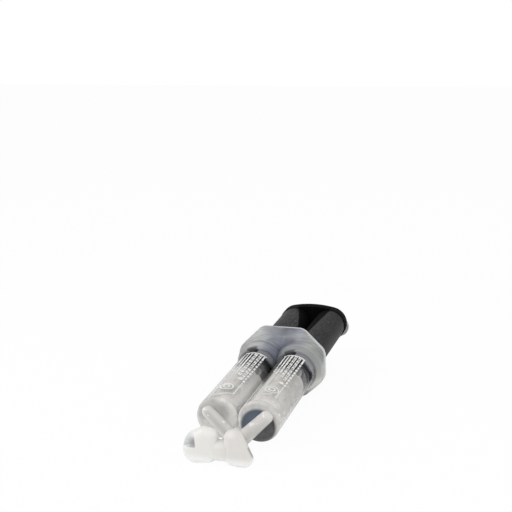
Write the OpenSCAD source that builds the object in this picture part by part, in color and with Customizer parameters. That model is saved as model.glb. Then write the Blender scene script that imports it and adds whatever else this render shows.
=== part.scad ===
// Twin-barrel adhesive syringe, lying on its side.
// Y runs from the nose (low) to the thumb end (high), X across the two barrels, Z up.
// The sizes below are real sizes in millimetres.
// Stations along the syringe are measured from the barrels' flat front face, toward the rear.

/* [Barrels] */
// Outside diameter of each barrel
barrel_d = 18.8; // [17:0.2:22]
// Wall of each barrel
barrel_wall = 0.8; // [0.7:0.1:1.4]
// How far the two barrels run into each other where they are moulded together
barrel_seam = 0.2; // [0.1:0.05:0.5]
// Length of the barrels from the front face to the open rear end
barrel_len = 72.5; // [68:0.5:90]
// Thickness of the front wall
front_wall = 1.6; // [1.2:0.1:2.4]
// Rounding of the front edge of each barrel
front_round = 1.3; // [0.6:0.1:1.8]
// Height of the web that fills the groove between the barrels
web_h = 4.4; // [3:0.2:6]
// How far the bead at the rear end stands out of the barrel
bead_h = 0.5; // [0.3:0.1:0.6]
// Width of that bead
bead_w = 1.3; // [0.8:0.1:1.6]

/* [Channels] */
// Distance of each channel's closed end from the middle of the syringe
channel_x = 12.9; // [11:0.1:14]
// Height of each channel's closed end above the barrel axes
channel_z = 2.7; // [1:0.1:4]
// Slope of the channels, down and inward across the front faces
channel_angle = 45; // [38:1:52]
// Radius of the half-round channel ridge at its closed end
channel_r_end = 2.9; // [2.4:0.1:3.2]
// Radius of the ridge where it runs into the snout
channel_r_snout = 3.4; // [3:0.1:3.8]
// Radius of the passage inside the ridge
passage_r = 1.3; // [0.8:0.1:1.6]

/* [Nozzle] */
// Depth of the nozzle axis below the barrel axes
nozzle_drop = 7; // [6:0.1:8]
// Radius of the nozzle
nozzle_r = 3.3; // [3:0.1:3.6]
// Length of the nozzle in front of the barrels
nozzle_len = 15; // [13:0.5:20]
// Radius of the snout at the front faces
snout_r = 4.7; // [4.2:0.1:5.4]
// Length of the tapering snout
snout_len = 6.5; // [4:0.5:7.5]
// Radius of each of the two outlets
outlet_r = 1.1; // [0.8:0.1:1.2]
// Distance between the two outlets
outlet_pitch = 3.4; // [3:0.1:3.6]

/* [Finger flange] */
// How far the octagonal flange stands out past the barrels at each side
flange_side = 2.3; // [1.5:0.1:7]
// How far the flange stands out above and below the barrels
flange_reach = 8; // [6:0.1:11]
// Length of the corner cuts along the width
flange_cut_x = 10.6; // [8:0.2:12]
// Length of the corner cuts along the height
flange_cut_z = 10.5; // [8:0.2:12]
// Radius of the flange's corners
flange_corner_r = 6; // [1:0.2:8]
// How far the flange's rear rim lies behind the barrels' open end
flange_tail = 2.5; // [1.5:0.1:5]
// Length of the flange along the barrels
flange_len = 13; // [11.5:0.5:16]
// Wall of the flange
flange_t = 1.5; // [1.2:0.1:1.8]
// Wall of the flange's sockets at their front edge
socket_lip = 0.8; // [0.4:0.1:1.2]
// Wall of the flange's sockets where the sweep begins
socket_wall = 2.4; // [1.6:0.1:2.8]
// Radius of the hollow sweep from the sockets to the rim
dish_r = 7.2; // [5:0.2:7.6]
// Width of the flat rim behind the sweep
rim_bead = 1.8; // [1.4:0.1:2.4]

/* [Plunger] */
// Radial gap between each plunger rod and its barrel
rod_gap = 0.4; // [0.3:0.05:1.2]
// Wall of each hollow rod
rod_wall = 1.5; // [1.2:0.1:2.5]
// Distance of the plunger's end behind the flange's rim
plunger_out = 62.7; // [58:0.1:80]
// Thickness of the thumb plate
thumb_t = 5; // [3:0.5:8]
// How far the thumb plate's ends stand out past the rods
thumb_lip = 0.4; // [0.2:0.1:0.8]
// How much higher the thumb plate is in the middle than at its ends
thumb_crown = 1; // [0.8:0.1:3]

/* [Pistons] */
// How far the pistons' front faces lie inside the barrels' open end
piston_in = 21; // [19.5:0.5:24]
// Length of each piston
piston_len = 7.5; // [7:0.1:9]
// Length of each sealing lip
piston_lip = 1.6; // [1:0.1:2.2]
// Depth of the waist between the lips
piston_waist = 0.7; // [0.3:0.1:1.2]
// Rounding of the piston's front edge
piston_round = 0.6; // [0.3:0.1:1]
// Length of the spigot that plugs each piston into its hollow rod
spigot_len = 4; // [3:0.5:8]

/* [Wing cap] */
// Wall of the cap's round hub
hub_wall = 1.3; // [1:0.1:1.6]
// How far the hub reaches over the nozzle
hub_grip = 6.5; // [5:0.5:8]
// Thickness of the hub's closed front end
hub_end_t = 2.2; // [1.6:0.1:4]
// Rounding of the hub's front edge
hub_round = 1.4; // [0.8:0.1:1.8]
// Length of the two plugs that close the outlets
plug_len = 3; // [2:0.5:5]
// Half thickness of the wings, which is also the radius of their edges
wing_r = 3.3; // [2.6:0.1:3.6]
// How far the wings run back over the hub's front end
wing_sink = 1.1; // [0.8:0.1:2]
// Width of the left wing from the middle of the cap
wing_left = 17.7; // [16:0.1:19]
// Width of the right wing from the middle of the cap
wing_right = 12.8; // [12:0.1:15]
// Height of the wings above the barrel axes
wing_top = 4.6; // [4:0.1:5.5]
// Depth of the wings below the barrel axes
wing_low = 11.7; // [11:0.1:13]
// Radius of the finger scoop in the left wing
scoop_r = 3; // [2:0.1:3.2]
// Distance of the scoop's inner wall from the middle of the cap
scoop_x = 11.4; // [10.5:0.1:12]
// Depth of the scoop's floor below the barrel axes
scoop_low = 3.8; // [2:0.1:5]
// Half thickness of the bridge that joins the two wings
bridge_r = 3; // [2.4:0.1:3.2]
// Depth of the bridge's upper edge below the barrel axes
bridge_high = 0.6; // [0:0.1:2]
// Depth of the bridge's underside below the barrel axes
bridge_low = 9.8; // [8.8:0.1:11]

/* [Reseal cap] */
// Radius of the round tab of the spare cap in the thumb plate
tab_r = 5; // [4:0.1:5.5]
// Thickness of that tab
tab_t = 2.2; // [1.5:0.1:3]
// Radius of the spare cap's plug
spare_plug_r = 2; // [1.5:0.1:2.1]
// Length of the spare cap's plug
spare_plug_len = 3.5; // [2:0.5:4.5]
// Sideways place of the spare cap from its rod's axis
spare_x = 4.2; // [3.5:0.1:4.3]
// Depth of the spare cap below the rod's axis
spare_drop = 2.6; // [1:0.1:2.7]

/* [Hidden] */

$fn = 96;
// Facets round the small spheres that shape the wings
wing_fn = 28;
// Steps along the arcs of the thumb plate and of the flange's corners
arc_steps = 24;
corner_steps = 7;
// Overrun of every cut past the surface that it leaves
over = 0.5;
// Radial gap of a sliding or push fit
slide_gap = 0.05;

// Barrel sizes
barrel_r = barrel_d / 2;
bore_r = barrel_r - barrel_wall;
barrel_pitch = barrel_d - barrel_seam;
barrel_x = barrel_pitch / 2;
web_w = barrel_pitch - 2 * bore_r - 2 * barrel_seam;

// Channel, port and snout sizes
channel_len = (channel_x - outlet_pitch / 2) / cos(channel_angle);
channel_depth = channel_r_end / 2;
port_along = (channel_x - barrel_x) * cos(channel_angle) + channel_z * sin(channel_angle);
snout_extra_drop = nozzle_drop / 8;
ridge_sink = front_wall * 0.9;
snout_sink = front_wall * 0.7;

// Flange sizes and stations
flange_w = 2 * (barrel_x + barrel_r + flange_side);
flange_h = 2 * (barrel_r + flange_reach);
flange_rear = barrel_len + flange_tail;
flange_front = flange_rear - flange_len;
rim_front = flange_rear - flange_t;
dish_start = rim_front - dish_r + flange_t * 0.1;
socket_r = barrel_r + slide_gap;
socket_out_r = socket_r + socket_wall;
sweep_x = socket_out_r + dish_r;

// Plunger sizes and stations
rod_r = bore_r - rod_gap;
piston_front = barrel_len - piston_in;
rod_front = piston_front + piston_len;
plunger_end = flange_rear + plunger_out;
thumb_front = plunger_end - thumb_t;
thumb_r = rod_r + thumb_lip;
core_r = rod_r - rod_wall;
piston_r = bore_r - slide_gap;

// Cap stations
hub_r = nozzle_r + slide_gap + hub_wall;
hub_rear = hub_grip - nozzle_len;
hub_front = -nozzle_len - hub_end_t;
wing_y = hub_front + wing_sink - wing_r;
plug_r = outlet_r - slide_gap;

// Places of the balls that shape each wing: across from the middle, and up from the lowest to the highest
left_wing_shares = [[0.39, 0.96], [0.56, 1], [0.7, 0.9], [0.86, 0.78], [0.94, 0.61], [1, 0.3],
                    [0.985, 0.12], [0.91, 0], [0.47, 0.06], [0.31, 0.19]];
right_wing_shares = [[0.41, 0.97], [0.54, 1], [1, 0.04], [0.93, 0], [0.66, 0], [0.35, 0.08]];

// Whole object: its foot is the flange's lower edge, and its middle along Y is the origin
nose_y = wing_y - wing_r;
tail_y = plunger_end + tab_t;
mid_y = (nose_y + tail_y) / 2;
axis_z = flange_h / 2;

// Puts the syringe's own frame, with its origin between the barrels on their front face, on the ground
module placed() {
    translate([0, -mid_y, axis_z]) children();
}

// Turns a shape that runs along Z into one that runs along Y, toward the rear
module along_y(x = 0, y = 0, z = 0) {
    translate([x, y, z]) rotate([-90, 0, 0]) children();
}

// A straight round bar or hole along Y
module bar_y(r, from_y, to_y, x = 0, z = 0) {
    along_y(x, from_y, z) cylinder(r = r, h = to_y - from_y);
}

// A half profile with one rounded outer corner at its low end
module rounded_bar_profile(r, h, edge) {
    square([r - edge, h]);
    translate([0, edge]) square([r, h - edge]);
    translate([r - edge, edge]) circle(r = edge);
}

// A round bar along Y whose front edge is rounded
module rounded_bar_y(r, from_y, to_y, edge, x = 0, z = 0) {
    along_y(x, from_y, z) rotate_extrude() rounded_bar_profile(r, to_y - from_y, edge);
}

// A slab between two stations, wider than the syringe
module slab_y(from_y, to_y) {
    side = 2 * (flange_w + flange_h);
    translate([-side / 2, from_y, -side / 2]) cube([side, to_y - from_y, side]);
}

// Half profile of one channel ridge: a round closed end, then a widening cone
module channel_profile() {
    intersection() {
        circle(r = channel_r_end);
        translate([0, -channel_r_end]) square([channel_r_end, channel_r_end]);
    }
    polygon([[0, 0], [channel_r_end, 0], [channel_r_snout, channel_len], [0, channel_len]]);
}

// One channel ridge, cut off where it sinks into the front wall
module channel_ridge(side) {
    intersection() {
        translate([side * channel_x, 0, channel_z]) rotate([0, -side * (90 + channel_angle), 0])
            rotate_extrude() channel_profile();
        slab_y(-2 * channel_r_snout, ridge_sink);
    }
}

// The passage inside one ridge, from its port to the outlet
module channel_passage(side) {
    translate([side * channel_x, -channel_depth, channel_z])
        rotate([0, -side * (90 + channel_angle), 0])
            translate([0, 0, port_along]) cylinder(r = passage_r, h = channel_len - port_along);
    bar_y(passage_r, -channel_depth, front_wall + over, side * (channel_x - port_along * cos(channel_angle)),
          channel_z - port_along * sin(channel_angle));
}

// The twin barrels with their front wall, channels, snout and nozzle: one moulding
module barrel_pair() {
    color([0.86, 0.85, 0.83, 0.45]) placed() difference() {
        union() {
            for (side = [-1, 1]) {
                rounded_bar_y(barrel_r, 0, barrel_len, front_round, side * barrel_x);
                bar_y(barrel_r + bead_h, barrel_len - bead_w, barrel_len, side * barrel_x);
            }
            translate([-web_w / 2, front_round, -web_h / 2]) cube([web_w, barrel_len - front_round, web_h]);
            for (side = [-1, 1]) channel_ridge(side);
            along_y(0, snout_sink, -nozzle_drop - snout_extra_drop) mirror([0, 0, 1])
                cylinder(h = snout_len + snout_sink, r1 = snout_r, r2 = nozzle_r);
            bar_y(nozzle_r, -nozzle_len, front_wall / 2, 0, -nozzle_drop);
        }
        for (side = [-1, 1]) {
            bar_y(bore_r, front_wall, barrel_len + over, side * barrel_x);
            channel_passage(side);
            bar_y(outlet_r, -nozzle_len - over, -channel_depth, side * outlet_pitch / 2, -nozzle_drop);
        }
    }
}

// Arc of points about c, from one angle to another
function arc(c, r, from_a, to_a, n) = [
    for (i = [0:n]) let (a = from_a + (to_a - from_a) * i / n) [c[0] + r * cos(a), c[1] + r * sin(a)]
];

// One corner of the octagon between two edge directions, rounded with radius r
function round_corner(p, before, after, r) =
    let (a = before - p, b = after - p,
         ua = a / norm(a), ub = b / norm(b),
         half = acos(ua * ub) / 2,
         mid = (ua + ub) / norm(ua + ub),
         c = p + mid * r / sin(half),
         middle_a = atan2(-mid[1], -mid[0]))
    arc(c, r, middle_a - (90 - half), middle_a + (90 - half), corner_steps);

// Corners of the octagon, counter-clockwise
octagon = let (w = flange_w / 2, h = flange_h / 2, cx = w - flange_cut_x, cz = h - flange_cut_z)
    [[w, -cz], [w, cz], [cx, h], [-cx, h], [-w, cz], [-w, -cz], [-cx, -h], [cx, -h]];

// The octagon with its corners rounded, shrunk by inset
module octagon_outline(inset = 0) {
    last = len(octagon);
    scale_x = 1 - 2 * inset / flange_w;
    scale_z = 1 - 2 * inset / flange_h;
    points = [for (i = [0:last - 1])
        let (p = octagon[i], before = octagon[(i + last - 1) % last], after = octagon[(i + 1) % last])
        each round_corner(p, before, after, flange_corner_r)];
    polygon([for (q = points) [q[0] * scale_x, q[1] * scale_z]]);
}

// Half profile of the solid inside the flange's outer skin, round one barrel
module flange_skin_profile() {
    polygon([[0, flange_front], [socket_r + socket_lip, flange_front],
             [socket_out_r, dish_start], [0, dish_start]]);
    difference() {
        translate([0, dish_start]) square([sweep_x, flange_rear - dish_start]);
        translate([sweep_x, dish_start]) circle(r = dish_r);
    }
}

// Half profile of the hollow behind that skin
module flange_hollow_profile() {
    translate([0, dish_start - over]) square([socket_r, over]);
    difference() {
        translate([0, dish_start]) square([sweep_x - rim_bead, flange_rear - dish_start + over]);
        translate([sweep_x, dish_start]) circle(r = dish_r + flange_t);
    }
}

// The finger flange: a hollow bell round each barrel, ending in one octagonal rim
module finger_flange() {
    color([0.66, 0.68, 0.72, 0.6]) placed() difference() {
        union() {
            intersection() {
                union() {
                    for (side = [-1, 1])
                        along_y(side * barrel_x) rotate_extrude() flange_skin_profile();
                }
                along_y(0, flange_front - over) linear_extrude(flange_len + 2 * over) octagon_outline();
            }
            along_y(0, rim_front) linear_extrude(flange_t) octagon_outline();
        }
        for (side = [-1, 1]) bar_y(socket_r, flange_front - over, dish_start + over, side * barrel_x);
        intersection() {
            union() {
                for (side = [-1, 1])
                    along_y(side * barrel_x) rotate_extrude() flange_hollow_profile();
            }
            along_y(0, dish_start - 2 * over) linear_extrude(2 * flange_len) octagon_outline(flange_t);
        }
    }
}

// The two adhesives that fill the barrels
module fill(side) {
    placed() bar_y(bore_r - slide_gap, front_wall + slide_gap, piston_front - slide_gap, side * barrel_x);
}

module resin_fill() {
    color([0.85, 0.84, 0.82, 0.5]) fill(-1);
}

module hardener_fill() {
    color([0.85, 0.83, 0.78, 0.5]) fill(1);
}

// Half profile of one piston: a lip at each end, a waist between them and a spigot behind
module piston_profile() {
    rounded_bar_profile(piston_r, piston_lip, piston_round);
    square([piston_r - piston_waist, piston_len]);
    translate([0, piston_len - piston_lip]) square([piston_r, piston_lip]);
    translate([0, (piston_len - piston_lip) / 2]) square([piston_r - piston_waist / 2, piston_lip]);
    square([core_r - slide_gap, piston_len + spigot_len]);
}

// One piston, plugged into its rod
module piston(side) {
    placed() along_y(side * barrel_x, piston_front) rotate_extrude() piston_profile();
}

module piston_left() {
    color([0.1, 0.1, 0.11]) piston(-1);
}

module piston_right() {
    color([0.1, 0.1, 0.11]) piston(1);
}

// The thumb plate: an oval whose long arcs run smoothly into its round ends
module thumb_plate() {
    mid_h = thumb_r + thumb_crown;
    long_r = (barrel_x * barrel_x + mid_h * mid_h - thumb_r * thumb_r) / (2 * thumb_crown);
    tip = atan2(long_r - mid_h, barrel_x);
    along_y(0, thumb_front) linear_extrude(thumb_t) polygon(concat(
        arc([barrel_x, 0], thumb_r, -tip, tip, arc_steps),
        arc([0, mid_h - long_r], long_r, tip, 180 - tip, arc_steps),
        arc([-barrel_x, 0], thumb_r, 180 - tip, 180 + tip, arc_steps),
        arc([0, long_r - mid_h], long_r, 180 + tip, 360 - tip, arc_steps)));
}

// The plunger: two hollow rods, open toward the pistons, on one thumb plate
module plunger() {
    color([0.1, 0.1, 0.11]) placed() difference() {
        union() {
            for (side = [-1, 1])
                bar_y(rod_r, rod_front + slide_gap, thumb_front + over, side * barrel_x);
            thumb_plate();
        }
        for (side = [-1, 1]) bar_y(core_r, rod_front - over, thumb_front - rod_wall, side * barrel_x);
        bar_y(spare_plug_r + slide_gap, plunger_end - spare_plug_len - slide_gap, plunger_end + over,
              barrel_x + spare_x, -spare_drop);
    }
}

// One wing, as the hull of balls placed by shares of its width and height
module wing(width, shares) {
    low = wing_r - wing_low;
    high = wing_top - wing_r;
    hull() {
        for (share = shares)
            translate([share[0] * width, wing_y, low + share[1] * (high - low)]) sphere(r = wing_r, $fn = wing_fn);
    }
}

// The bridge between the wings, in front of the hub
module bridge() {
    hull() {
        for (x = [-bridge_r, bridge_r], z = [-bridge_high - bridge_r, bridge_r - bridge_low])
            translate([x, wing_y, z]) sphere(r = bridge_r, $fn = wing_fn);
    }
}

// The wing cap that closes the nozzle, with a plug for each outlet
module wing_cap() {
    color([0.91, 0.91, 0.89]) placed() difference() {
        union() {
            rounded_bar_y(hub_r, hub_front, hub_rear, hub_round, 0, -nozzle_drop);
            difference() {
                wing(wing_r - wing_left, left_wing_shares);
                translate([-scoop_x - scoop_r, wing_y - wing_r, -scoop_low]) cylinder(r = scoop_r, h = flange_h);
            }
            wing(wing_right - wing_r, right_wing_shares);
            bridge();
        }
        difference() {
            bar_y(nozzle_r + slide_gap, -nozzle_len - slide_gap, hub_rear + over, 0, -nozzle_drop);
            for (side = [-1, 1]) bar_y(plug_r, -nozzle_len - over, -nozzle_len + plug_len,
                                       side * outlet_pitch / 2, -nozzle_drop);
        }
    }
}

// The spare cap that waits in the thumb plate
module reseal_cap() {
    color([0.8, 0.8, 0.79]) placed() {
        bar_y(tab_r, plunger_end + slide_gap, plunger_end + tab_t, barrel_x + spare_x, -spare_drop);
        bar_y(spare_plug_r, plunger_end - spare_plug_len, plunger_end + tab_t / 2,
              barrel_x + spare_x, -spare_drop);
    }
}

barrel_pair();
finger_flange();
resin_fill();
hardener_fill();
piston_left();
piston_right();
plunger();
wing_cap();
reseal_cap();
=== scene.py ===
import bpy
import math
from mathutils import Matrix, Vector


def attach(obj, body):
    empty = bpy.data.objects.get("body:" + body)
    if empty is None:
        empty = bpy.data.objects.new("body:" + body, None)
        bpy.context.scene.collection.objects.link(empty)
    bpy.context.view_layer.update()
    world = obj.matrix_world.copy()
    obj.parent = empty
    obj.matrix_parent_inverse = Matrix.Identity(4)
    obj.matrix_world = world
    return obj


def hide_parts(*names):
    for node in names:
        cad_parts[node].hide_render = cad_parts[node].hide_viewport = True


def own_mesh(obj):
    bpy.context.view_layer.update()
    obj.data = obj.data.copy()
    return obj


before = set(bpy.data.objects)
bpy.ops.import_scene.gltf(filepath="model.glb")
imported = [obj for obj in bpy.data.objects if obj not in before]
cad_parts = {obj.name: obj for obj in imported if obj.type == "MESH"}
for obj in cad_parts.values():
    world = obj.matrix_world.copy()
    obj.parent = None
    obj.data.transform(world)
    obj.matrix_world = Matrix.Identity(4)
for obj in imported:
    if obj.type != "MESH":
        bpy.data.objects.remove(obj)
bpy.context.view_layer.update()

# Places are given in millimetres from the barrels' front face, midway between their axes:
# x across, y toward the thumb plate, z up. A turn is an angle round a barrel, from the top toward +X.
MM_PER_METRE = 1000
# Where the row frame's origin lies, along the syringe and below the barrels' axes
MID_Y = 58.6
AXIS_Z = 17.4
# The barrels: half the distance between their axes, outside, bore, front wall
BARREL_X = 9.3
BARREL_R = 9.4
BORE_R = 8.6
FRONT_WALL = 1.6
# The pistons' front, and where the pale part of each adhesive ends: left (-1) and right (1)
PISTON_Y = 51.5
COLUMN_END = {-1: 40.2, 1: 43.2}
# Where a channel's ridge starts on a front wall
CHANNEL_X = 12.9
CHANNEL_Z = 2.7
# The thumb plate, from a little before its front to a little before its rear face
PLATE_FRONT = 132.0
PLATE_REAR = 137.5
# The upright axis of the pocket in the cap's left wing, and its radius
POCKET_X = -14.4
POCKET_Y = -22.7
POCKET_R = 3.1

# The photograph's camera: its place, and its axes in the frame above
CAMERA_PLACE = (137.854, -413.398, 188.413)
CAMERA_RIGHT = (0.95715905, 0.28843875, -0.02548796)
CAMERA_UP = (-0.05075301, 0.25377419, 0.96593105)
CAMERA_BACK = (0.28508013, -0.92325606, 0.2575414)
IMAGE_PIXELS = 512.0
FOCAL_PIXELS = 1100.0
SENSOR_MM = 36.0


def at(x, y, z):
    """A place in the row frame, in metres."""
    return Vector((x / MM_PER_METRE, (y - MID_Y) / MM_PER_METRE, (z + AXIS_Z) / MM_PER_METRE))


def round_barrel(side, turn, y, r):
    """A place on a cylinder round one barrel. turn is in degrees."""
    a = math.radians(turn)
    return at(side * BARREL_X + r * math.sin(a), y, r * math.cos(a))


def add(name, data):
    """A new object in the scene."""
    o = bpy.data.objects.new(name, data)
    bpy.context.scene.collection.objects.link(o)
    return o


def camera():
    """The camera, at the photograph's viewing angle."""
    data = bpy.data.cameras.new("camera")
    data.sensor_width = SENSOR_MM
    data.lens = SENSOR_MM * FOCAL_PIXELS / IMAGE_PIXELS
    data.clip_start = 0.01
    data.clip_end = 20
    o = add("camera", data)
    axes = Matrix((CAMERA_RIGHT, CAMERA_UP, CAMERA_BACK)).transposed()
    o.matrix_world = Matrix.Translation(at(*CAMERA_PLACE)) @ axes.to_4x4()
    bpy.context.scene.camera = o


class Shade:
    """A material whose nodes are written as sums. Lengths in it are the millimetres above."""

    def __init__(self, name):
        self.mat = bpy.data.materials.new(name)
        self.mat.use_nodes = True
        self.nodes, self.links = self.mat.node_tree.nodes, self.mat.node_tree.links
        self.nodes.clear()
        self.out = self.nodes.new("ShaderNodeOutputMaterial")
        self.bsdf = self.nodes.new("ShaderNodeBsdfPrincipled")
        self.links.new(self.bsdf.outputs[0], self.out.inputs[0])
        tex = self.nodes.new("ShaderNodeTexCoord")
        self.place = tex.outputs["Object"]
        split = self.nodes.new("ShaderNodeSeparateXYZ")
        self.links.new(self.place, split.inputs[0])
        self.x = self.math("MULTIPLY", split.outputs[0], MM_PER_METRE)
        self.y = self.math("MULTIPLY_ADD", split.outputs[1], MM_PER_METRE, MID_Y)
        self.z = self.math("MULTIPLY_ADD", split.outputs[2], MM_PER_METRE, -AXIS_Z)

    def put(self, socket, value):
        """Link or set one input."""
        if isinstance(value, bpy.types.NodeSocket):
            self.links.new(value, socket)
        elif isinstance(value, (tuple, list)):
            socket.default_value = (tuple(value) + (1,))[: len(socket.default_value)]
        else:
            socket.default_value = value

    def math(self, op, a, b=0.0, c=0.0):
        """One sum of up to three numbers."""
        n = self.nodes.new("ShaderNodeMath")
        n.operation = op
        for i, v in enumerate((a, b, c)):
            self.put(n.inputs[i], v)
        return n.outputs[0]

    def step(self, value, start, end):
        """0 before start and 1 after end, smooth between. With end below start it falls instead."""
        n = self.nodes.new("ShaderNodeMapRange")
        n.interpolation_type = "SMOOTHSTEP"
        self.put(n.inputs["Value"], value)
        self.put(n.inputs["From Min"], min(start, end))
        self.put(n.inputs["From Max"], max(start, end))
        self.put(n.inputs["To Min"], 0.0 if end > start else 1.0)
        self.put(n.inputs["To Max"], 1.0 if end > start else 0.0)
        return n.outputs[0]

    def both(self, *masks):
        """The product of some masks."""
        out = masks[0]
        for m in masks[1:]:
            out = self.math("MULTIPLY", out, m)
        return out

    def band(self, value, start, full, fade, end):
        """A mask that rises from start to full and falls from fade to end."""
        return self.both(self.step(value, start, full), self.step(value, end, fade))

    def on_right(self):
        """A mask of the right half."""
        return self.step(self.x, -0.3, 0.3)

    def on_left(self):
        """A mask of the left half."""
        return self.step(self.x, 0.3, -0.3)

    def distance(self, a, b):
        return self.math("SQRT", self.math("ADD", self.math("MULTIPLY", a, a), self.math("MULTIPLY", b, b)))

    def away(self, a, a0, b, b0):
        """Distance from the line where a is a0 and b is b0."""
        return self.distance(self.math("SUBTRACT", a, a0), self.math("SUBTRACT", b, b0))

    def from_barrel(self):
        """Distance from the nearer barrel's axis."""
        return self.distance(self.math("SUBTRACT", self.math("ABSOLUTE", self.x), BARREL_X), self.z)

    def turn(self):
        """The angle round the nearer barrel's axis, in radians."""
        axis = self.math("MULTIPLY", self.math("SIGN", self.x), BARREL_X)
        return self.math("ARCTAN2", self.math("SUBTRACT", self.x, axis), self.z)

    def degrees(self):
        """The angle round the nearer barrel's axis, in degrees."""
        return self.math("MULTIPLY", self.turn(), 180 / math.pi)

    def noise(self, scale, detail=3.0, stretch=(1, 1, 1)):
        """A cloudy number, about 0.5 on average. A small stretch draws it out along that axis."""
        mapping = self.nodes.new("ShaderNodeMapping")
        self.put(mapping.inputs["Vector"], self.place)
        mapping.inputs["Scale"].default_value = stretch
        n = self.nodes.new("ShaderNodeTexNoise")
        n.inputs["Scale"].default_value = scale
        n.inputs["Detail"].default_value = detail
        n.inputs["Roughness"].default_value = 0.5
        self.put(n.inputs["Vector"], mapping.outputs[0])
        return n.outputs[0]

    def mix(self, share, a, b):
        """A colour between a and b."""
        n = self.nodes.new("ShaderNodeMix")
        n.data_type = "RGBA"
        self.put(n.inputs[0], share)
        self.put(n.inputs[6], a)
        self.put(n.inputs[7], b)
        return n.outputs[2]

    def partly(self, mask, share, a, b):
        """A colour between a and b that goes only share of the way to b where mask is 1."""
        return self.mix(self.math("MULTIPLY", mask, share), a, b)

    def blend(self, share, a, b):
        """A number between a and b."""
        n = self.nodes.new("ShaderNodeMix")
        n.data_type = "FLOAT"
        self.put(n.inputs[0], share)
        self.put(n.inputs[2], a)
        self.put(n.inputs[3], b)
        return n.outputs[0]

    def tint(self, colour, value, low, high):
        """colour times a number that goes from low to high with value."""
        n = self.nodes.new("ShaderNodeMix")
        n.data_type = "RGBA"
        n.blend_type = "MULTIPLY"
        n.inputs[0].default_value = 1.0
        self.put(n.inputs[6], colour)
        grey = self.nodes.new("ShaderNodeCombineColor")
        v = self.blend(value, low, high)
        for i in range(3):
            self.put(grey.inputs[i], v)
        self.put(n.inputs[7], grey.outputs[0])
        return n.outputs[2]

    def grain(self, height, strength, depth):
        """Fine bumps, depth millimetres deep."""
        n = self.nodes.new("ShaderNodeBump")
        n.inputs["Strength"].default_value = strength
        n.inputs["Distance"].default_value = depth / MM_PER_METRE
        self.put(n.inputs["Height"], height)
        self.put(self.bsdf.inputs["Normal"], n.outputs[0])

    def subsurface(self, weight, radius, scale):
        """Light that goes into the material and comes out again, scale metres times radius away."""
        self.bsdf.inputs["Subsurface Radius"].default_value = radius
        self.bsdf.inputs["Subsurface Scale"].default_value = scale
        self.bsdf.inputs["Subsurface Weight"].default_value = weight

    def set(self, **values):
        """Give the shader its inputs, and return the material."""
        for key, value in values.items():
            self.put(self.bsdf.inputs[key.replace("_", " ")], value)
        return self.mat


def pocket_shade(s, colour):
    """Shade inside the pocket of the cap's left wing, darkest in its inner corner."""
    hole = s.step(s.away(s.x, POCKET_X, s.y, POCKET_Y), POCKET_R + 0.1, POCKET_R - 0.02)
    hole = s.both(hole, s.step(s.z, -3.95, -3.7))
    corner = s.step(s.away(s.x, POCKET_X + 2.0, s.z, -2.6), 3.6, 0.6)
    return s.mix(hole, colour, s.mix(corner, (0.82, 0.83, 0.84), (0.36, 0.37, 0.36)))


def wing_edge_line(s, colour):
    """A thin painted shadow line down the outer side of the cap's right wing, where that side is turned from
    the light. It leans as that side does.
    """
    across = s.math("MULTIPLY", s.math("SUBTRACT", s.x, 11.4), 0.899)
    across = s.math("MULTIPLY_ADD", s.math("ADD", s.z, 4.6), 0.438, across)
    line = s.both(s.step(across, -0.1, 0.1), s.band(s.z, -8.0, -7.0, -3.2, -2.4))
    return s.partly(line, 0.6, colour, (0.12, 0.12, 0.12))


def white_plastic():
    """The wing cap: milky white, a little uneven, with soft light inside it, painted shade on its right wing
    and painted light on its lowest part.
    """
    s = Shade("white_plastic")
    cloud = s.noise(110, 3)
    # Painted shade: the right wing is darker than the left
    left = s.mix(cloud, (0.78, 0.78, 0.74), (0.83, 0.82, 0.795))
    right = s.mix(cloud, (0.71, 0.69, 0.66), (0.77, 0.75, 0.72))
    colour = s.mix(s.step(s.x, -5.0, 3.0), left, right)
    # Painted light thrown up from the floor makes the lowest part paler
    colour = s.mix(s.step(s.z, -6.0, -10.0), colour, (0.96, 0.96, 0.95))
    # Painted shade inside the left wing's pocket, and a painted shadow line on the right wing
    colour = wing_edge_line(s, pocket_shade(s, colour))
    s.grain(s.noise(900, 2), 0.25, 0.12)
    s.subsurface(0.35, (0.003, 0.003, 0.0026), 0.5)
    return s.set(Base_Color=colour, Roughness=s.blend(cloud, 0.34, 0.48))


def natural_plastic():
    """The spare cap: undyed plastic, slightly cloudy."""
    s = Shade("natural_plastic")
    cloud = s.noise(200, 3)
    s.grain(s.noise(1500, 2), 0.2, 0.08)
    colour = s.mix(cloud, (0.46, 0.46, 0.45), (0.58, 0.58, 0.56))
    return s.set(Base_Color=colour, Roughness=s.blend(cloud, 0.3, 0.45))


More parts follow.
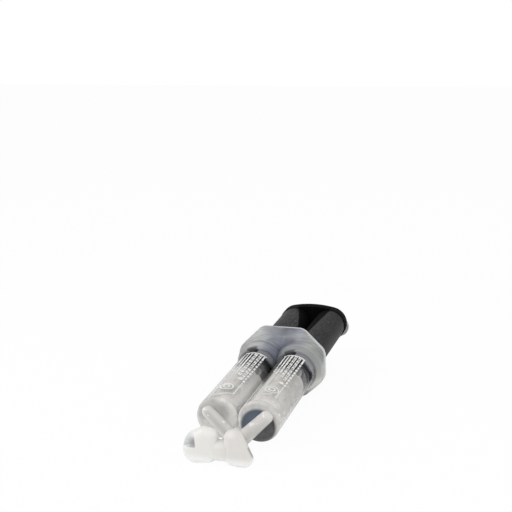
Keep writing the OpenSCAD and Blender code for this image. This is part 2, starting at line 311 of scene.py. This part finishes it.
def black_plastic():
    """The plunger: black with a fine moulded grain and faint rubbed marks along the rods, with painted shade
    between the rods, on the right rod and on the thumb plate's edge, and painted light on the left rod.
    """
    s = Shade("black_plastic")
    spots = s.noise(950, 3, (1, 0.45, 1))
    rubbed = s.noise(160, 3, (1, 0.12, 1))
    colour = s.mix(s.step(spots, 0.36, 0.7), (0.019, 0.019, 0.02), (0.056, 0.056, 0.059))
    colour = s.tint(colour, rubbed, 0.75, 1.3)
    # The valley between the rods lies in deep shade, with slanting edges. The rear face is left plain.
    turn = s.degrees()
    ahead = s.step(s.y, PLATE_REAR + 0.15, PLATE_REAR - 0.15)
    left = s.math("MULTIPLY_ADD", s.math("SUBTRACT", s.y, 123.0), 2.1, turn)
    left = s.both(s.on_left(), s.step(left, 28.0, 36.0))
    right = s.math("MULTIPLY_ADD", s.math("SUBTRACT", s.y, 131.0), -0.61, turn)
    right = s.both(s.on_right(), s.step(right, 5.0, 0.0))
    deep = s.both(s.math("MAXIMUM", left, right), s.step(s.z, -6.0, -2.0), ahead)
    plate = s.both(s.step(s.y, PLATE_FRONT - 0.4, PLATE_FRONT + 0.4), ahead)
    # Painted shade: the right rod is darker than the left, and the thumb plate's edge is darker than both.
    # Painted light makes the left rod paler.
    colour = s.tint(colour, s.both(s.on_right(), s.step(turn, 5.0, 70.0)), 1.0, 0.45)
    colour = s.tint(colour, plate, 1.0, 0.3)
    colour = s.tint(colour, s.on_left(), 1.0, 1.35)
    colour = s.tint(colour, deep, 1.0, 0.04)
    s.grain(spots, 0.35, 0.1)
    rough = s.blend(s.math("MAXIMUM", deep, plate), s.blend(spots, 0.4, 0.6), 0.92)
    return s.set(Base_Color=colour, Roughness=rough, Specular_IOR_Level=0.1)


def piston_black():
    """The pistons: black, smooth and a little glossier than the rods."""
    s = Shade("piston_black")
    cloud = s.noise(400, 3)
    s.grain(cloud, 0.15, 0.05)
    colour = s.mix(cloud, (0.024, 0.024, 0.026), (0.055, 0.055, 0.06))
    return s.set(Base_Color=colour, Roughness=s.blend(cloud, 0.35, 0.5), Specular_IOR_Level=0.2)


def front_walls(s):
    """The colour of the barrels' front walls, with painted light and shade, and a painted dark disc for the
    piston seen down the right barrel.
    """
    curd = s.step(s.noise(480, 3), 0.35, 0.65)
    # Left: painted shade, darker up and inward; painted light, paler at the upper right, beside the right
    # barrel and low down
    shade = s.away(s.x, -8.2, s.z, 3.0)
    left = s.mix(s.step(shade, 1.5, 5.5), (0.45, 0.44, 0.43), (0.53, 0.515, 0.5))
    left = s.mix(s.both(s.step(s.x, -10.5, -6.5), s.step(s.z, 5.0, 8.5)), left, (0.72, 0.7, 0.67))
    left = s.mix(s.step(s.x, -5.5, -2.0), left, (0.72, 0.715, 0.68))
    low = s.math("ADD", s.z, s.math("MULTIPLY", s.noise(260, 2), 3))
    left = s.mix(s.step(low, 2.4, -0.8), left, (0.7, 0.685, 0.665))
    # Right: a painted dark disc, blue above and darker toward its edge, for the black piston seen down the
    # whole length of the barrel. Round it, painted light makes the wall paler beside the left barrel.
    down = s.away(s.x, 9.2, s.z, -1.8)
    black = s.mix(s.noise(420, 3), (0.04, 0.04, 0.042), (0.15, 0.148, 0.15))
    dark = s.mix(s.step(s.math("SUBTRACT", s.x, s.z), 8.0, 14.0), (0.115, 0.145, 0.185), black)
    dark = s.tint(dark, s.step(down, 3.5, 7.6), 1.1, 0.8)
    around = s.mix(s.step(s.x, 2.4, 0.6), (0.6, 0.585, 0.565), (0.76, 0.775, 0.74))
    right = s.mix(s.step(down, 8.5, 6.9), s.tint(around, curd, 0.93, 1.07), dark)
    return s.mix(s.on_right(), s.tint(left, curd, 0.93, 1.07), right)


def haze_mask(s, turn):
    """A hazy band in front of the flange, where the barrel goes into its socket."""
    start = s.math("MULTIPLY_ADD", s.step(turn, 0.45, 0.8), 2.2, s.y)
    start = s.math("MULTIPLY_ADD", s.step(turn, 1.1, 1.5), -1.6, start)
    return s.both(s.step(start, 57.6, 58.6), s.step(turn, -0.02, 0.12))


def moon_mask(s, turn):
    """A dark crescent at the top of each barrel, just in front of the flange."""
    return s.both(s.step(s.y, 58.3, 58.7), s.band(turn, -0.7, -0.6, -0.08, 0.0))


def barrel_walls(s, cloud, turn, haze, moon):
    """The colour of the barrels' round walls, which shows where one looks along them."""
    wall = s.mix(cloud, (0.5, 0.49, 0.47), (0.62, 0.61, 0.59))
    # Painted darkness where the black pistons show through, and painted shade along the right barrel's upper
    # left edge
    wall = s.mix(s.step(s.y, 42.0, 43.5), wall, (0.035, 0.034, 0.04))
    edge = s.both(s.on_right(), s.step(turn, -0.45, -0.55), s.step(s.y, 23.0, 30.0))
    wall = s.mix(edge, wall, (0.06, 0.06, 0.06))
    # Darker at the left barrel's front end, and painted shade on the right barrel's outer flank
    end = s.both(s.on_left(), s.step(turn, 0.05, -0.3), s.step(s.y, 10.0, 3.0))
    wall = s.tint(wall, end, 1.0, 0.72)
    flank = s.both(s.on_right(), s.step(turn, 1.65, 1.9), s.step(s.y, 14.0, 38.0))
    wall = s.tint(wall, flank, 1.0, 0.5)
    # In the hazy band, painted shade makes the lower right flank darker
    low = s.step(turn, 1.2, 1.6)
    wall = s.mix(haze, wall, s.mix(low, (0.32, 0.325, 0.355), (0.19, 0.19, 0.205)))
    return s.mix(moon, wall, (0.03, 0.03, 0.032))


def channel_ridges(s, cloud):
    """The colour of the ridges and the snout. The left ridge has a painted highlight along its upper edge and
    painted light on its lower side.
    """
    across = s.math("ADD", s.math("ADD", s.x, CHANNEL_X), s.math("SUBTRACT", s.z, CHANNEL_Z))
    across = s.math("MULTIPLY", across, math.sqrt(0.5))
    plain = s.mix(cloud, (0.66, 0.64, 0.62), (0.76, 0.74, 0.72))
    # Painted light: the left ridge is paler on its lower side
    left = s.mix(s.step(across, 0.6, -1.6), (0.62, 0.605, 0.585), (0.8, 0.785, 0.765))
    colour = s.mix(s.step(s.x, -2.0, -4.0), plain, left)
    # Painted highlight along the left ridge's upper edge
    edge = s.both(s.step(across, 0.9, 1.8), s.step(s.x, -2.6, -3.6))
    colour = s.partly(edge, 0.5, colour, (0.74, 0.74, 0.71))
    blots = s.step(s.noise(420, 2), 0.6, 0.68)
    return s.mix(blots, colour, (0.88, 0.87, 0.85))


def clear_moulding():
    """The barrels: see-through along their walls, cloudy in the front walls, the ridges and the snout."""
    s = Shade("clear_moulding")
    cloud = s.noise(160, 4)
    turn = s.turn()
    ridge = s.step(s.y, -0.02, -0.15)
    face = s.band(s.y, -0.15, -0.02, FRONT_WALL - 0.25, FRONT_WALL + 0.1)
    haze = haze_mask(s, turn)
    moon = moon_mask(s, turn)
    colour = s.mix(face, barrel_walls(s, cloud, turn, haze, moon), front_walls(s))
    colour = s.mix(ridge, colour, channel_ridges(s, cloud))
    # A wall seen at a slant hides more of what is behind it
    weight = s.nodes.new("ShaderNodeLayerWeight")
    weight.inputs["Blend"].default_value = 0.5
    slant = s.step(weight.outputs["Facing"], 0.78, 0.87)
    alpha = s.blend(slant, s.blend(s.step(s.y, 36.0, 44.0), 0.06, 0.01), 0.9)
    alpha = s.blend(s.math("MULTIPLY", haze, 0.8), alpha, 0.9)
    alpha = s.blend(moon, alpha, 0.9)
    alpha = s.blend(face, alpha, 0.96)
    alpha = s.blend(ridge, alpha, 0.94)
    s.grain(s.noise(350, 3), 0.12, 0.1)
    rough = s.blend(cloud, 0.14, 0.26)
    return s.set(Base_Color=colour, Alpha=alpha, Roughness=rough, Specular_IOR_Level=0.35)


def flange_tones(s):
    """The flange's cool grey, warmer at both sides, with painted light making it paler at the lower right and
    the upper left.
    """
    cloud = s.step(s.noise(62, 2), 0.35, 0.65)
    colour = s.mix(cloud, (0.23, 0.245, 0.3), (0.35, 0.36, 0.385))
    sides = s.math("MAXIMUM", s.step(s.x, 8.0, 15.0), s.step(s.x, -6.0, -13.0))
    colour = s.partly(sides, 0.8, colour, s.mix(cloud, (0.3, 0.315, 0.3), (0.4, 0.41, 0.38)))
    # Painted light at the lower right
    low_right = s.both(s.step(s.x, 9.0, 17.0), s.step(s.z, 5.0, -6.0))
    colour = s.partly(low_right, 0.7, colour, (0.5, 0.51, 0.47))
    # Painted light at the upper left, streaky
    high_left = s.both(s.step(s.x, -4.0, -12.0), s.step(s.z, 4.0, 12.0))
    streaky = s.blend(s.step(s.noise(300, 2, (0.4, 1, 1)), 0.4, 0.6), 0.35, 0.85)
    return s.partly(high_left, streaky, colour, (0.52, 0.53, 0.52))


def socket_tones(s, colour):
    """Tones round the sockets, with painted shade, painted highlights and painted darkness where the piston
    shows through. off is the distance from the nearer barrel's axis.
    """
    off = s.from_barrel()
    streaks = s.step(s.noise(420, 3, (0.22, 1, 1)), 0.36, 0.66)
    colour = s.tint(colour, s.both(streaks, s.step(s.z, 8.0, 12.0)), 0.92, 1.22)
    # Painted shade in the valley between the sockets, deepest just right of the middle
    valley = s.both(s.step(s.math("ABSOLUTE", s.x), 9.0, 1.0), s.step(s.y, 73.0, 66.0))
    colour = s.tint(colour, valley, 1.0, 0.88)
    middle = s.both(s.band(s.x, -1.5, 2.5, 5.0, 9.0), s.step(off, 11.3, 12.3))
    colour = s.tint(colour, middle, 1.0, 0.7)
    # Painted highlights: a paler lip and a thin bright arc round the right socket
    lip = s.both(s.step(off, 12.2, 11.6), s.step(s.x, 0.0, 3.0))
    colour = s.partly(lip, 0.4, colour, (0.43, 0.44, 0.42))
    arc = s.both(s.band(off, 11.4, 11.7, 11.9, 12.2), s.step(s.x, 2.0, 5.0))
    colour = s.tint(colour, arc, 1.0, 1.16)
    # Painted darkness where the black piston shows through the socket's front edge, above and to the left
    moon = s.both(s.step(off, 10.9, 10.4), s.band(s.turn(), -0.62, -0.5, -0.1, 0.04), s.step(s.y, 63.6, 62.9))
    black = s.mix(s.step(s.x, -3.0, 3.0), (0.05, 0.05, 0.052), (0.09, 0.092, 0.088))
    return s.partly(moon, 0.8, colour, black)


def tinted_moulding():
    """The flange: cool grey and cloudy, with fine rings turned round each barrel, painted light low at the
    right and a painted highlight along its rim.
    """
    s = Shade("tinted_moulding")
    rings = s.math("MULTIPLY_ADD", s.from_barrel(), 9.5, s.math("MULTIPLY", s.noise(130, 3), 9.0))
    rings = s.math("MULTIPLY_ADD", s.math("SINE", rings), 0.5, 0.5)
    rings = s.both(rings, s.noise(150, 3))
    colour = socket_tones(s, s.tint(flange_tones(s), rings, 0.88, 1.3))
    # Painted light low on the right side
    under = s.both(s.step(s.x, 9.0, 14.0), s.step(s.z, -2.0, -7.0))
    colour = s.partly(under, 0.8, colour, (0.78, 0.78, 0.74))
    # A painted highlight along the rim, wider at the right
    rim = s.step(s.math("MULTIPLY_ADD", s.step(s.x, 8.0, 17.0), 1.4, s.y), 73.5, 73.9)
    pale = s.mix(s.step(s.x, -6.0, 6.0), (0.46, 0.465, 0.49), (0.62, 0.625, 0.63))
    s.grain(rings, 0.3, 0.08)
    return s.set(Base_Color=s.mix(rim, colour, pale), Alpha=s.blend(rim, 0.88, 0.95),
                 Roughness=s.blend(rings, 0.3, 0.45))


def curds_and_painted_light(s, turn, streak, cloud, side, low, high):
    """An adhesive's pale colour: streaks and curds, with painted shade on the flanks toward the right and
    painted light in the valley between the barrels.
    """
    colour = s.mix(s.step(streak, 0.3, 0.7), low, high)
    colour = s.tint(colour, cloud, 0.95, 1.05)
    if side > 0:
        # A darker strip along the right barrel, just left of its top
        darker_strip = s.both(s.band(turn, -16.0, -11.0, -8.0, -4.0), s.step(s.y, 15.0, 20.0))
        colour = s.tint(colour, darker_strip, 1.0, 0.78)
    curd = s.noise(520, 3, (1, 0.45, 1))
    colour = s.mix(s.step(curd, 0.56, 0.72), colour, (0.82, 0.79, 0.77))
    colour = s.tint(colour, s.step(curd, 0.46, 0.34), 1.0, 0.88)
    # Painted shade on the flanks toward the right
    colour = s.tint(colour, s.step(turn, 40.0, 115.0), 1.0, 0.8)
    # Painted light: bright in the valley between the barrels, for light the adhesive carries into it
    colour = s.mix(s.step(s.math("ABSOLUTE", s.x), 4.5, 1.5), colour, (0.99, 0.97, 0.94))
    # More painted shade on the upper right, along the middle of the column
    colour = s.tint(colour, s.both(s.step(turn, 25.0, 45.0), s.step(s.y, 12.0, 42.0)), 1.0, 0.72)
    if side < 0:
        end = s.both(s.step(turn, 6.0, -10.0), s.step(s.y, 12.0, 4.0))
        colour = s.tint(colour, end, 1.0, 0.82)
        rear = s.both(s.step(turn, -26.0, -34.0), s.step(s.y, 45.0, 49.0))
        colour = s.tint(colour, rear, 1.0, 0.4)
    return colour


def glints(s, turn, colour):
    """Painted highlights, a pale patch and sparks at the front end, and along the column a painted highlight
    line and a painted shade line.
    """
    patch = s.both(s.step(s.y, 10.0, 4.0), s.band(turn, -10.0, 15.0, 38.0, 60.0))
    colour = s.partly(patch, 0.7, colour, (0.9, 0.85, 0.835))
    spark = s.both(s.step(s.noise(330, 2), 0.62, 0.7), s.step(s.y, 12.0, 4.0))
    colour = s.mix(spark, colour, (0.95, 0.94, 0.92))
    colour = s.tint(colour, s.band(turn, -36.0, -34.0, -33.0, -31.0), 1.0, 1.18)
    return s.tint(colour, s.band(turn, -31.0, -29.0, -28.0, -26.0), 1.0, 0.82)


def piston_shade(s, turn, side, colour):
    """The black piston seen through the rear end: slowly between the marks, sharply on the flank."""
    slow = s.math("MULTIPLY_ADD", turn, 0.1, s.y)
    slow = s.math("MULTIPLY_ADD", s.noise(500, 2, (1, 0.4, 1)), 3.0, slow)
    slow = s.both(s.step(slow, 38.5, 48.5), s.step(turn, 38.0, 32.0))
    colour = s.mix(slow, colour, (0.014, 0.014, 0.015))
    wave = s.math("MULTIPLY_ADD", s.noise(260, 3), 2.2, s.y)
    front = COLUMN_END[side]
    fast = s.both(s.step(wave, front + 0.9, front + 1.9), s.step(turn, 34.0, 38.0))
    mottle = s.noise(420, 3)
    if side > 0:
        dark = s.mix(mottle, (0.03, 0.03, 0.034), (0.13, 0.13, 0.14))
        dark = s.mix(s.step(s.y, 47.0, 53.0), dark, (0.14, 0.14, 0.15))
    else:
        dark = s.mix(mottle, (0.055, 0.055, 0.055), (0.19, 0.19, 0.19))
    return s.mix(fast, colour, dark)


def bubble(s, turn, side, colour):
    """A bubble trapped against the piston, with painted light on its right side and a faint painted highlight
    ring round that side.
    """
    around = s.math("MULTIPLY", s.math("SUBTRACT", turn, 46.0), 1 / 9.0)
    along = s.math("DIVIDE", s.math("SUBTRACT", s.y, COLUMN_END[side] + 1.8), 3.4)
    off = s.distance(around, along)
    inside = s.mix(s.step(turn, 44.0, 56.0), (0.17, 0.17, 0.17), (0.36, 0.355, 0.34))
    colour = s.mix(s.step(off, 1.02, 0.92), colour, inside)
    ring = s.both(s.band(off, 0.86, 0.98, 1.06, 1.18), s.step(turn, 36.0, 50.0))
    return s.partly(ring, 0.35, colour, (0.78, 0.77, 0.74))


def adhesive(name, side, low, high):
    """A thick clear adhesive: pale, streaky along the barrel, painted dark where the piston shows through it,
    and with painted light and shade.
    """
    s = Shade(name)
    streak = s.noise(120, 4, (1, 0.22, 1))
    cloud = s.noise(60, 2)
    turn = s.degrees()
    colour = curds_and_painted_light(s, turn, streak, cloud, side, low, high)
    colour = glints(s, turn, colour)
    colour = piston_shade(s, turn, side, colour)
    colour = bubble(s, turn, side, colour)
    s.grain(streak, 0.15, 0.15)
    s.subsurface(0.9, (1, 1, 1), 0.009)
    return s.set(Base_Color=colour, Roughness=s.blend(cloud, 0.16, 0.28), Specular_IOR_Level=0.2)


def ink():
    """The printed marks: white ink, a little thin in places."""
    s = Shade("white_ink")
    worn = s.noise(900, 3)
    s.grain(worn, 0.2, 0.02)
    colour = s.mix(worn, (0.84, 0.84, 0.83), (0.97, 0.97, 0.96))
    return s.set(Base_Color=colour, Roughness=s.blend(worn, 0.45, 0.6))


def paint(node_name, mat, angle=32):
    """Give a CAD node its material, with smooth faces up to an angle in degrees."""
    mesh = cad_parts[node_name].data
    mesh.materials.clear()
    mesh.materials.append(mat)
    mesh.polygons.foreach_set("use_smooth", [True] * len(mesh.polygons))
    mesh.set_sharp_from_angle(angle=math.radians(angle))


def piece(name, verts, faces, mat, body):
    """A visual piece that rides on a body."""
    mesh = bpy.data.meshes.new(name)
    mesh.from_pydata([tuple(v) for v in verts], [], faces)
    mesh.materials.append(mat)
    mesh.update()
    o = add(name, mesh)
    mesh.polygons.foreach_set("use_smooth", [True] * len(mesh.polygons))
    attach(o, body)
    return o


def lathe(side, profile, around=96):
    """A turned solid round one barrel's axis, from (radius, y) places that start and end on the axis."""
    verts, faces, rows = [], [], []
    for r, y in profile:
        if r == 0:
            rows.append([len(verts)])
            verts.append(at(side * BARREL_X, y, 0))
        else:
            rows.append(list(range(len(verts), len(verts) + around)))
            verts += [round_barrel(side, 360 * i / around, y, r) for i in range(around)]
    for a, b in zip(rows, rows[1:]):
        for i in range(around):
            j = (i + 1) % around
            if len(a) == 1:
                faces.append((a[0], b[i], b[j]))
            elif len(b) == 1:
                faces.append((a[i], b[0], a[j]))
            else:
                faces.append((a[i], b[i], b[j], a[j]))
    return verts, faces


def column(node_name, side, low, high):
    """One adhesive, a turned column inside one barrel that rides on the syringe."""
    gap, round_r, rear_r = 0.06, 0.5, 0.15
    r = BORE_R - gap
    y0, y1 = FRONT_WALL + gap, PISTON_Y - gap
    profile = [(0, y0), (r - round_r, y0)]
    profile += [(r - round_r + round_r * math.sin(a), y0 + round_r - round_r * math.cos(a))
                for a in (0.4, 0.8, 1.2)]
    rings = 24
    profile += [(r, y0 + 0.6 + (y1 - y0 - 1.0) * i / rings) for i in range(rings + 1)]
    profile += [(r - rear_r, y1 - 0.1), (r - round_r, y1), (0, y1)]
    verts, faces = lathe(side, profile)
    o = piece(node_name + "_column", verts, faces, adhesive(node_name, side, low, high), "syringe")
    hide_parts(node_name)
    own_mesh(o)


class Print:
    """Printed marks that lie on one barrel's skin. Angles are in degrees, and stations are y."""

    def __init__(self, side):
        self.side = side
        self.verts = []
        self.faces = []
        self.r = BARREL_R + 0.02

    def grid(self, points, rows, cols):
        """Faces between rows of (turn, y) points."""
        start = len(self.verts)
        self.verts += [round_barrel(self.side, turn, y, self.r) for turn, y in points]
        for i in range(rows - 1):
            for j in range(cols - 1):
                a = start + i * cols + j
                self.faces.append((a, a + 1, a + cols + 1, a + cols))

    def bar(self, turn0, turn1, y0, y1, lean=0.0):
        """A bar between two angles and two stations. lean moves its last angle's end along the barrel."""
        cols = max(2, int(abs(turn1 - turn0) / 3) + 2)
        rows = max(2, int(abs(y1 - y0) / 6) + 2)
        points = []
        for i in range(rows):
            for j in range(cols):
                across = j / (cols - 1)
                y = y0 + (y1 - y0) * i / (rows - 1)
                points.append((turn0 + (turn1 - turn0) * across, y + lean * across))
        self.grid(points, rows, cols)

    def ring(self, turn, y, outer, inner, long=1.0):
        """A ring. Radii are in mm, and long stretches it along the barrel."""
        steps = 45
        degree = math.degrees(1 / self.r)
        points = []
        for i in range(steps + 1):
            a = 2 * math.pi * i / steps
            for r in (inner, outer):
                points.append((turn + r * math.cos(a) * degree, y + r * math.sin(a) * long))
        self.grid(points, steps + 1, 2)

    def frame_line(self, rear, line_rear, line_front):
        """The frame's rear line, its side line, and the row of short marks that goes on from that."""
        self.bar(-27, 38.8, rear + 0.1, rear + 1.2)
        self.bar(line_rear - 2.6, line_rear + 2.6, 51.6, rear + 1.2)
        front, length = 9, 42
        y, i = 50.8, 0
        while y > front:
            turn = line_front + (line_rear - line_front) * (y - front) / length
            wide, long, pitch = ((2.9, 2.4, 3.1)[i % 3], 2.4, 3.2) if y > 24 else (2.0, 1.8, 2.2)
            self.bar(turn - wide, turn + wide, y - long, y)
            y -= pitch
            i += 1

    def stripe(self, turn0, turn1, rear, stop):
        """A plain stripe that breaks up into short bars toward its front end."""
        self.bar(turn0, turn1, stop, rear + 0.2)
        y = stop - 0.4
        while y > stop - 9:
            self.bar(turn0 + 0.6, turn1 - 0.6, y - 1.7, y)
            y -= 2.4

    def dashes(self, turn0, turn1, rear, stop, first):
        """A column of short dashes. A wide one is split in two."""
        y, i = rear + 0.1, first
        while y > stop:
            long = (3.4, 1.5, 2.4, 1.1, 2.9)[i % 5]
            middle = turn0 + (turn1 - turn0) * (0.42, 0.6, 0.5)[i % 3]
            if turn1 - turn0 > 8:
                self.bar(turn0, middle - 0.5, y - long * 0.8, y)
                self.bar(middle + 0.5, turn1, y - long, y - long * 0.1)
            else:
                self.bar(turn0, turn1 - (i % 2) * 1.2, y - long, y)
            y -= long + (0.15 if y > 44 else 0.4)
            i += 1

    def make(self, name, mat):
        """The marks as one layer of ink, solid and a few hundredths of a millimetre thick."""
        o = piece(name, self.verts, self.faces, mat, "syringe")
        layer = o.modifiers.new("layer", "SOLIDIFY")
        layer.thickness = 0.03 / MM_PER_METRE
        layer.offset = 0.0


def barrel_print(name, mat, side, rear, line, stripes, columns, spot, ring, inner, under):
    """Generic marks on one barrel. A stripe or column is (from, to, front end) in degrees and mm."""
    p = Print(side)
    p.frame_line(rear, *line)
    for start, end, stop in stripes:
        p.stripe(start, end, rear, stop)
    for first, (start, end, stop) in enumerate(columns):
        p.dashes(start, end, rear, stop, first)
    p.ring(*spot, 1.1, 0.2)
    # A plain ring with a smaller one inside it, and a line under them
    p.ring(*ring, 3.2, inner, 1.1)
    p.ring(*ring, 1.7, 1.0, 1.1)
    start, end, below, lean = under
    p.bar(start, end, ring[1] - below, ring[1] - below + 0.6, lean)
    p.make(name, mat)


def node_set(tree):
    """An empty node tree's nodes, and a function that links an output to an input."""
    tree.nodes.clear()
    return tree.nodes, tree.links.new


def greater(nodes, link, a, b):
    """The greater of two outputs."""
    n = nodes.new("ShaderNodeMath")
    n.operation = "MAXIMUM"
    link(a, n.inputs[0])
    link(b, n.inputs[1])
    return n.outputs[0]


def floor_material():
    """A pale floor that looks white where it is seen straight, mirrored or through something."""
    mat = bpy.data.materials.new("floor")
    mat.use_nodes = True
    nodes, link = node_set(mat.node_tree)
    out = nodes.new("ShaderNodeOutputMaterial")
    diffuse = nodes.new("ShaderNodeBsdfDiffuse")
    diffuse.inputs[0].default_value = (0.9, 0.9, 0.9, 1)
    glow = nodes.new("ShaderNodeEmission")
    glow.inputs[0].default_value = (1, 1, 1, 1)
    path = nodes.new("ShaderNodeLightPath").outputs
    seen = greater(nodes, link, path["Is Camera Ray"], path["Is Transmission Ray"])
    seen = greater(nodes, link, seen, path["Is Glossy Ray"])
    # Under 1, so that the object's shadow stays
    share = nodes.new("ShaderNodeMath")
    share.operation = "MULTIPLY"
    link(seen, share.inputs[0])
    share.inputs[1].default_value = 0.96
    mixed = nodes.new("ShaderNodeMixShader")
    link(share.outputs[0], mixed.inputs[0])
    link(diffuse.outputs[0], mixed.inputs[1])
    link(glow.outputs[0], mixed.inputs[2])
    link(mixed.outputs[0], out.inputs[0])
    return mat


def floor():
    """The floor, tilted so that both the flange and the wing cap touch it."""
    half, flange_y = 3, 73.5
    mesh = bpy.data.meshes.new("floor")
    corners = [(-half, -half, 0), (half, -half, 0), (half, half, 0), (-half, half, 0)]
    mesh.from_pydata(corners, [], [(0, 1, 2, 3)])
    mesh.materials.append(floor_material())
    o = add("floor", mesh)
    o.location = at(0, flange_y, -AXIS_Z)
    # The cap's lowest place is this much above the flange's, and this far in front of it
    cap_rise, cap_ahead = 5.72, 92.9
    o.rotation_euler = (-math.atan2(cap_rise, cap_ahead), 0, 0)


def white_world():
    """A world that is white where it is seen, and lights less from above than from the sides."""
    world = bpy.data.worlds.new("world")
    bpy.context.scene.world = world
    world.use_nodes = True
    nodes, link = node_set(world.node_tree)
    out = nodes.new("ShaderNodeOutputWorld")
    bg = nodes.new("ShaderNodeBackground")
    tex = nodes.new("ShaderNodeTexCoord")
    split = nodes.new("ShaderNodeSeparateXYZ")
    link(tex.outputs["Generated"], split.inputs[0])
    fall = nodes.new("ShaderNodeMapRange")
    for key, value in (("From Min", 0.1), ("From Max", 0.9), ("To Min", 0.76), ("To Max", 0.5)):
        fall.inputs[key].default_value = value
    link(split.outputs[2], fall.inputs[0])
    path = nodes.new("ShaderNodeLightPath")
    link(greater(nodes, link, fall.outputs[0], path.outputs["Is Camera Ray"]), bg.inputs[1])
    bg.inputs[0].default_value = (1, 1, 1, 1)
    link(bg.outputs[0], out.inputs[0])


def lamp(name, place, size, power):
    """A soft square lamp that points at the object. place and size are in metres."""
    light = bpy.data.lights.new(name, "AREA")
    light.size = size
    light.energy = power
    o = add(name, light)
    o.location = place
    o.rotation_mode = "QUATERNION"
    o.rotation_quaternion = (Vector((0, 0, 0.015)) - Vector(place)).to_track_quat("-Z", "Y")


camera()

# The CAD nodes' looks
seal = piston_black()
for node_name, mat in (("barrel_pair", clear_moulding()), ("finger_flange", tinted_moulding()),
                       ("piston_left", seal), ("piston_right", seal), ("plunger", black_plastic()),
                       ("wing_cap", white_plastic()), ("reseal_cap", natural_plastic())):
    paint(node_name, mat)

# The two adhesives
column("resin_fill", -1, (0.6, 0.585, 0.555), (0.75, 0.735, 0.71))
column("hardener_fill", 1, (0.6, 0.58, 0.55), (0.75, 0.735, 0.705))

# The marks on the barrels
white = ink()
barrel_print("print_right", white, side=1, rear=57.0, line=(36.2, 32.8),
             stripes=((-24, -18.2, 46), (-11.6, -6.6, 43)),
             columns=((-2.4, 3.8, 36), (8.0, 16.2, 31), (19.8, 28.2, 28.5)),
             spot=(22.5, 24.4), ring=(11.5, 15.2), inner=2.75, under=(-2, 20, 7.3, 2.6))
barrel_print("print_left", white, side=-1, rear=56.6, line=(33.0, 30.5),
             stripes=((-31.5, -26, 45), (-17, -13.2, 42), (-7.2, -2.2, 39)),
             columns=((2.6, 13.2, 29), (17.0, 26.2, 26)),
             spot=(18.4, 25.0), ring=(1.0, 14.0), inner=2.5, under=(-9, 32, 10.6, 5.6))

# The stage
floor()
white_world()
lamp("key", (-0.45, -0.35, 0.5), 0.5, 2.4)
lamp("side", (0.6, -0.2, 0.35), 0.45, 1.3)
bpy.context.scene.view_settings.view_transform = "Standard"
